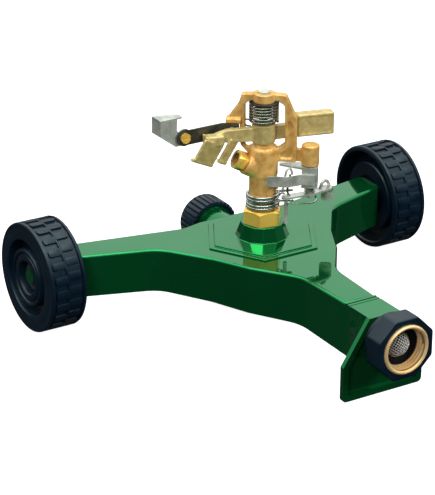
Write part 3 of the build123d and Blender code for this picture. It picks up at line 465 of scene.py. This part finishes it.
# painted shade: faces inside the bore, past the lip of the mouth, take the dark brass as shade in the
# hollow
shaded_bore_faces = []
for face in nut.faces:
    middle = face.calc_center_median()
    across = Vector((middle.x, 0, middle.z - water_z))
    inward = face.normal.dot(across) < -0.5 * across.length
    if inward and across.length < bore_reach and middle.y > mouth + mouth_lip:
        shaded_bore_faces.append(face)
for face in shaded_bore_faces:
    face.material_index = 1
nut_piece = make_piece("inlet_ring", nut, ring_brass, "hose_swivel", None, 30)
nut_piece.data.materials.append(shaded_bore_brass)
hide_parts("inlet_swivel_nut")
thread_radius = 0.01322
thread_height = 0.0012
thread_pitch = 0.00221
thread_turns = 2.9
thread_start = 0.0026
thread_steps = 64
ridge_share = 0.22
crest_share = 0.25


def hose_thread():
    """A V-shaped ridge wound round the bore of the nut."""
    mesh = bmesh.new()
    half = thread_pitch * ridge_share
    crest = half * crest_share
    ridge = [
        mesh.verts.new((thread_radius, -half, 0)),
        mesh.verts.new((thread_radius - thread_height, -crest, 0)),
        mesh.verts.new((thread_radius - thread_height, crest, 0)),
        mesh.verts.new((thread_radius, half, 0)),
    ]
    edges = [mesh.edges.new((ridge[n], ridge[(n + 1) % 4])) for n in range(4)]
    bmesh.ops.spin(mesh, geom=ridge + edges, cent=(0, 0, 0), axis=(0, 1, 0),
                   angle=2 * math.pi * thread_turns, steps=int(thread_turns * thread_steps),
                   dvec=(0, thread_pitch / thread_steps, 0), use_duplicate=False)
    bmesh.ops.holes_fill(mesh, edges=[e for e in mesh.edges if e.is_boundary], sides=4)
    bmesh.ops.recalc_face_normals(mesh, faces=mesh.faces)
    place = Matrix.Translation((0, mouth + thread_start, water_z))
    make_piece("inlet_thread", mesh, ring_brass, "hose_swivel", place, 50)


hose_thread()

# The screen is a dome of woven stainless wire, pressed to shape and clipped into the rubber
# hose washer. The other washers are the same rubber.
mesh_wire = finish("mesh_wire", (0.80, 0.79, 0.76), (0.70, 0.69, 0.66), 0.5, (0.25, 0.35), 0.0040, 0.0)
rubber = finish("washer_rubber", (0.004, 0.005, 0.007), (0.007, 0.008, 0.010), 0.0, (0.55, 0.7),
                0.0030, 0.0)
rubber.node_tree.nodes["Principled BSDF"].inputs["Specular IOR Level"].default_value = 0.25
dress(rubber, "inlet_washer", "outlet_cap_washer", "bearing_washers")


def wire_mesh(routes, radius):
    """A bmesh of round wires, each through a route of points in metres, with closed ends."""
    curve = bpy.data.curves.new("wires", "CURVE")
    curve.dimensions = "3D"
    curve.resolution_u = 6 if len(routes) < 4 else 2
    curve.bevel_depth = radius
    curve.bevel_resolution = 2 if len(routes) < 4 else 1
    curve.use_fill_caps = True
    for route in routes:
        spline = curve.splines.new("NURBS")
        spline.points.add(len(route) - 1)
        for point, place in zip(spline.points, route):
            point.co = (*place, 1)
        spline.order_u = 3
        spline.use_endpoint_u = True
    holder = bpy.data.objects.new("wires", curve)
    bpy.context.collection.objects.link(holder)
    baked = bpy.data.meshes.new_from_object(holder.evaluated_get(bpy.context.evaluated_depsgraph_get()))
    bpy.data.objects.remove(holder)
    mesh = bmesh.new()
    mesh.from_mesh(baked)
    bpy.data.meshes.remove(baked)
    bmesh.ops.remove_doubles(mesh, verts=mesh.verts, dist=1e-6)
    bmesh.ops.recalc_face_normals(mesh, faces=mesh.faces)
    return mesh


def woven_dome():
    """Two sets of wires laid over a dome, over and under each other."""
    low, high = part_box("inlet_screen")
    rim = (high.x - low.x) / 2 - 0.0003
    rise = 0.0054
    sphere = (rim ** 2 + rise ** 2) / (2 * rise)
    spacing = 0.00140
    wire = 0.00020
    wave = 0.00016
    crown_gap = 0.0004
    slant = math.radians(38)
    count = int(rim / spacing)
    routes = []
    for across in (False, True):
        for n in range(-count, count + 1):
            offset = n * spacing
            reach = math.sqrt(rim ** 2 - offset ** 2)
            steps = max(4, int(2 * reach / spacing))
            route = []
            for k in range(steps + 1):
                along = -reach + 2 * reach * k / steps
                weave = wave if (k + n + across) % 2 else -wave
                depth = sphere - math.sqrt(sphere ** 2 - offset ** 2 - along ** 2) + weave + crown_gap
                route.append((along, depth, offset) if across else (offset, depth, along))
            routes.append(route)
    mesh = wire_mesh(routes, wire)
    bmesh.ops.rotate(mesh, verts=mesh.verts, cent=(0, 0, 0), matrix=Matrix.Rotation(slant, 3, "Y"))
    bmesh.ops.translate(mesh, verts=mesh.verts, vec=(0, low.y, water_z))
    made = make_piece("inlet_mesh", mesh, mesh_wire, "hose_swivel", None, 80)
    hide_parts("inlet_screen")


woven_dome()

# The far outlet is closed by a screwed cap, moulded in black plastic. Its grip is fluted:
# thirty round-topped ribs with a narrow groove between them, open toward the base.
def fluted_cap():
    """The cap as a spun shell whose skirt is pinched in between the ribs."""
    low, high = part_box("outlet_cap")
    outer = (high.x - low.x) / 2
    start, end = low.y, high.y
    rib_count = 30
    rib_share = 0.62
    groove_depth = 0.0010
    around = rib_count * 10
    mesh = bmesh.new()
    profile = [
        (0.0004, end - 0.0022),
        (0.0133, end - 0.0022),
        (0.0134, start + 0.0006),
        (0.0140, start),
        (outer - 0.0010, start),
        (outer - 0.0002, start + 0.0003),
        (outer, start + 0.0010),
        (outer, (start + end) / 2),
        (outer, end - 0.0014),
        (outer - 0.0005, end - 0.0005),
        (outer - 0.0014, end),
        (0.0004, end),
    ]
    rim = [mesh.verts.new((0, along, radius)) for radius, along in profile]
    edges = [mesh.edges.new((rim[n], rim[n + 1])) for n in range(len(rim) - 1)]
    bmesh.ops.spin(mesh, geom=rim + edges, cent=(0, 0, 0), axis=(0, 1, 0), angle=2 * math.pi,
                   steps=around, use_merge=True, use_duplicate=False)
    bmesh.ops.remove_doubles(mesh, verts=mesh.verts, dist=1e-6)
    bmesh.ops.holes_fill(mesh, edges=[e for e in mesh.edges if e.is_boundary], sides=0)
    for v in mesh.verts:
        radius = math.hypot(v.co.x, v.co.z)
        if radius > outer - 0.0011 and v.co.y < end - 0.0010:
            turn = math.atan2(v.co.x, v.co.z)
            phase = abs((turn / (2 * math.pi) * rib_count) % 1.0 - 0.5) * 2
            depth = groove_depth * max(0.0, (phase - rib_share) / (1 - rib_share)) ** 0.5
            v.co.x *= (radius - depth) / radius
            v.co.z *= (radius - depth) / radius
    bmesh.ops.recalc_face_normals(mesh, faces=mesh.faces)
    middle = (low + high) / 2
    place = Matrix.Translation((middle.x, 0, middle.z))
    made = make_piece("fluted_cap", mesh, plastic, "cap", place, 30)
    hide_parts("outlet_cap")


fluted_cap()

# The riser's nipple is turned from hexagon brass bar, polished, and screwed into the base.
# The stem that turns in it is the same brass.
dress(bright_brass, "bearing_nipple", "bearing_stem")

# The bearing spring and the two friction collars are bright spring wire. Each collar's stop is
# bent back on itself to make a finger loop.
wire_steel = finish("wire_steel", (0.70, 0.70, 0.66), (0.58, 0.59, 0.55), 1.0, (0.16, 0.22),
                    0.0040, 0.0)
dress(wire_steel, "bearing_spring", "friction_collar_lower", "friction_collar_upper")


def bent_wire(name, points, radius, material, body):
    """A bent round wire through points in millimetres, with closed ends."""
    route = [tuple(value / 1000 for value in point) for point in points]
    return make_piece(name, wire_mesh([route], radius / 1000), material, body, None, 60)


loop_wire = 0.55
lower_loop = [(8.6, 31.6, 73.6), (11.4, 31.0, 74.6), (13.6, 29.6, 77.2), (12.6, 30.2, 80.0),
              (10.4, 31.4, 79.4), (9.0, 31.8, 76.8)]
upper_loop = [(8.8, 32.4, 79.4), (11.6, 31.6, 81.2), (13.4, 30.4, 84.2), (12.0, 31.2, 87.0),
              (10.0, 32.2, 86.0), (9.0, 32.6, 82.6)]
bent_wire("lower_finger_loop", lower_loop, loop_wire, wire_steel, "lower_collar")
bent_wire("upper_finger_loop", upper_loop, loop_wire, wire_steel, "upper_collar")

# The head is one brass casting: tube, barrel, nozzle boss, bridge and trip boss. Its skin is
# grainy from the sand and its edges are soft, as cast metal's are.
cast_brass = finish("cast_brass", (0.80, 0.50, 0.160), (0.60, 0.33, 0.085), 0.50, (0.34, 0.52),
                    0.0011, 0.00032, 2.0)


cast_copy("body_casting", "head_casting", cast_brass, "head", 0.00042, 5)

# The range nozzle is turned from hexagon brass bar and screwed into its boss. Its bore is
# painted dark as shade in the hollow.
jet_azimuth = math.radians(165)
jet_rise = math.radians(27)
nozzle_bore = 0.0050
jet = Vector((math.cos(jet_azimuth), math.sin(jet_azimuth), math.tan(jet_rise))).normalized()
nozzle_middle = (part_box("range_nozzle")[0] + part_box("range_nozzle")[1]) / 2
nozzle = merged_copy("range_nozzle", False)
# painted shade: faces inside the nozzle's bore take the dark brass as shade in the hollow
for face in nozzle.faces:
    arm = face.calc_center_median() - nozzle_middle
    across = arm - jet * arm.dot(jet)
    inward = face.normal.dot(across) < -0.3 * across.length
    face.material_index = 1 if inward and across.length < nozzle_bore else 0
nozzle_piece = make_piece("hexagon_nozzle", nozzle, bright_brass, "head", None, 30)
nozzle_piece.data.materials.append(shaded_bore_brass)
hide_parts("range_nozzle")

# The fulcrum pin is turned steel, riveted over the bridge. The arm's spring is wound from
# stainless wire and sits under a darkened cup, with its end hooked out past the bridge's leg.
sheet_steel = finish("sheet_steel", (0.66, 0.70, 0.61), (0.38, 0.42, 0.37), 0.65, (0.20, 0.28),
                     0.0018, 0.0)
spring_steel = finish("spring_steel", (0.40, 0.40, 0.32), (0.30, 0.30, 0.24), 1.0, (0.22, 0.28),
                      0.0040, 0.0)
dress(sheet_steel, "fulcrum_pin")
dress(spring_steel, "arm_spring")
dress(dark_steel, "spring_cup")
spring_end = [(-7.6, 39.6, 129.6), (-9.6, 41.2, 130.4), (-10.6, 41.8, 128.6), (-10.0, 41.4, 126.4),
              (-8.2, 40.4, 125.4), (-6.8, 39.4, 125.8)]
spring_wire = 0.60
bent_wire("arm_spring_hook", spring_end, spring_wire, spring_steel, "head")

# The impact arm is another brass casting, with its hub, counterweight and spoon in one, and
# swings on the pin. Pickling has left it a duller olive gold.
arm_brass = finish("arm_brass", (0.58, 0.47, 0.19), (0.42, 0.33, 0.125), 0.45, (0.36, 0.50),
                   0.0009, 0.00016, 2.0)
cast_copy("impact_arm", "arm_casting", arm_brass, "arm", 0.00036, 4)

# The diffuser breaks up the jet. It is a dark steel bar riveted to the bridge, and a bright
# flap folded from sheet, held by a brass screw and nut at its end.
bar_steel = finish("bar_steel", (0.050, 0.052, 0.040), (0.11, 0.11, 0.085), 0.7, (0.26, 0.36),
                   0.0012, 0.0)
dress(bar_steel, "diffuser_bar")
dress(sheet_steel, "diffuser_flap", "diffuser_rivet")
dress(bright_brass, "diffuser_screw", "diffuser_nut")

# The trip mechanism is pressed from bright steel sheet and hangs on one pin. Its hook, springs
# and ear are bent to shape, along middle lines given here in millimetres.
dress(sheet_steel, "trip_pin", "trip_clip", "reverse_bracket", "reverse_leaf", "trip_lever", "trip_rod",
      "trip_rivet")
dress(wire_steel, "trip_spring")
hook = [(7.0, 21.0, 93.6), (7.6, 21.0, 98.2), (9.4, 21.0, 100.4), (11.6, 21.0, 99.6), (12.4, 20.6, 95.6)]
snap_spring = [(10.8, 20.6, 96.0), (9.8, 20.6, 92.0), (8.6, 20.4, 87.4), (8.6, 20.0, 83.4),
               (10.6, 19.4, 81.4)]
spring_leg = [(7.6, 17.0, 78.6), (12.0, 15.4, 78.0), (18.0, 14.4, 77.2), (24.0, 13.9, 76.6),
              (27.4, 15.0, 77.6), (27.6, 17.6, 79.4)]
ear = [(32.2, 19.2, 79.8), (33.0, 19.6, 84.4), (36.2, 20.4, 87.0), (39.8, 21.0, 85.4), (41.4, 21.4, 80.6)]
bent_wire("trip_hook", hook, 0.75, sheet_steel, "reverser")
bent_wire("over_centre_spring", snap_spring, 0.70, dark_steel, "trip")
bent_wire("trip_spring_leg", spring_leg, 0.60, wire_steel, "trip")
bent_wire("trip_ear", ear, 1.05, sheet_steel, "trip")
